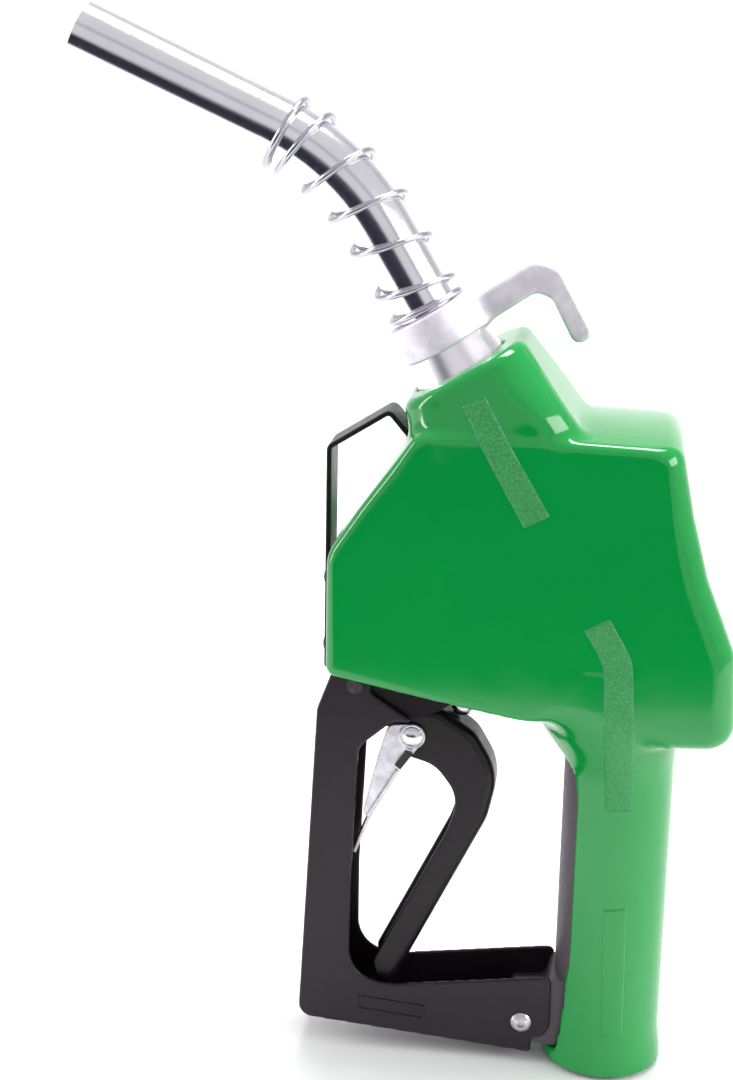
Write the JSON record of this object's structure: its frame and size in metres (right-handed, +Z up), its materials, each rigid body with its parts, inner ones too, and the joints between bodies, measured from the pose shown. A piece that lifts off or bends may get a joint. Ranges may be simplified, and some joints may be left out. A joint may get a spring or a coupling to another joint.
{
  "type": "automatic fuel nozzle",
  "caption": "Hand-held fuel nozzle: moulded cover on a cast body, bent spout with wire spring and hook, squeeze lever in a channel guard, threaded hose inlet.",
  "frame": {"origin": "centre of the hose inlet's face at the handle's lower end", "axes": "+Z up the handle from the inlet; +X from the guard towards the handle's back; Y across the nozzle, with y = 0 its middle plane"},
  "size_m": [0.2266, 0.066, 0.36],
  "materials": {
    "cover_vinyl": "gloss",
    "casting": "as cast, grey coated",
    "spout_aluminium": "polished",
    "bushing_aluminium": "fine turned",
    "hook_casting": "tumbled casting",
    "seal_rubber": "matt",
    "spring_steel": "bright drawn",
    "dark_wire": "oiled",
    "screw_steel": "zinc plated",
    "dark_screw": "satin black",
    "inner_steel": "turned",
    "valve_brass": "turned",
    "cap_aluminium": "machined casting",
    "guard_paint": "satin, warm black",
    "lever_paint": "satin black",
    "strap_paint": "satin black",
    "zinc_plate": "zinc plated",
    "rivet_steel": "bright"
  },
  "bodies": {
    "nozzle_body": {"body_casting": "casting", "handle_casting": "casting", "cover": "cover_vinyl", "handle_cover": "cover_vinyl", "spout_tube": "spout_aluminium", "spout_bushing": "bushing_aluminium", "bushing_o_ring": "seal_rubber", "spout_set_screw": "screw_steel", "spout_spring": "spring_steel", "hang_up_hook": "hook_casting", "vent_tube": "inner_steel", "vent_ferrule": "valve_brass", "seat_ring": "valve_brass", "poppet_cap": "cap_aluminium", "cap_o_ring": "seal_rubber", "poppet_spring": "spring_steel", "stem_packing": "seal_rubber", "packing_nut": "valve_brass", "check_seat": "valve_brass", "check_guide": "cap_aluminium", "check_spring": "spring_steel", "diaphragm": "seal_rubber", "diaphragm_cap": "cap_aluminium", "diaphragm_spring": "spring_steel", "cap_screws": "screw_steel", "plunger_bush": "valve_brass", "latch_ring": "inner_steel", "plunger_spring": "spring_steel", "guard": "guard_paint", "guard_bolts": "dark_screw", "guard_screw": "screw_steel", "guard_nut": "screw_steel", "hanger_strap": "strap_paint", "strap_screws": "dark_screw"},
    "stem": {"main_stem": "inner_steel", "main_poppet": "valve_brass", "poppet_seal": "seal_rubber", "poppet_nut": "screw_steel"},
    "check_valve": {"check_poppet": "valve_brass", "check_o_ring": "seal_rubber"},
    "latch": {"latch_pin": "inner_steel", "diaphragm_plate": "inner_steel"},
    "plunger": {"latch_plunger": "inner_steel", "latch_balls": "inner_steel", "lever_pin": "inner_steel"},
    "lever": {"lever": "lever_paint", "clip_rivet": "rivet_steel", "clip_spring": "dark_wire"},
    "clip": {"hold_open_clip": "zinc_plate", "clip_pad": "seal_rubber"}
  },
  "joints": [
    {"name": "plunger_drop", "type": "slide", "parent": "nozzle_body", "child": "plunger", "axis": [0, 0, -1], "range_m": [0, 0.008], "stiffness_N_per_m": 300, "springref_m": -0.01, "deforming": ["plunger_spring"]},
    {"name": "lever_squeeze", "type": "hinge", "parent": "plunger", "child": "lever", "pos_m": [-0.078, 0, 0.125], "axis": [0, -1, 0], "range_deg": [0, 18], "stiffness_Nm_per_rad": 0.8, "springref_deg": -8.59},
    {"name": "clip_swing", "type": "hinge", "parent": "lever", "child": "clip", "pos_m": [-0.0699, 0, 0.1178], "axis": [0, 1, 0], "range_deg": [-25, 11], "stiffness_Nm_per_rad": 0.05},
    {"name": "valve_lift", "type": "slide", "parent": "nozzle_body", "child": "stem", "axis": [0.5446, 0, 0.8387], "range_m": [0, 0.0075], "deforming": ["poppet_spring"]},
    {"name": "latch_pull", "type": "slide", "parent": "nozzle_body", "child": "latch", "axis": [0, 0, 1], "range_m": [0, 0.003], "stiffness_N_per_m": 120, "springref_m": -0.005, "deforming": ["diaphragm", "diaphragm_spring"]},
    {"name": "check_open", "type": "slide", "parent": "nozzle_body", "child": "check_valve", "axis": [-0.515, 0, 0.8572], "range_m": [0, 0.005], "stiffness_N_per_m": 100, "springref_m": -0.004, "deforming": ["check_spring"]}
  ],
  "couplings": [
    {"joint": "valve_lift", "follows": "lever_squeeze", "m_per_rad": 0.0222}
  ]
}
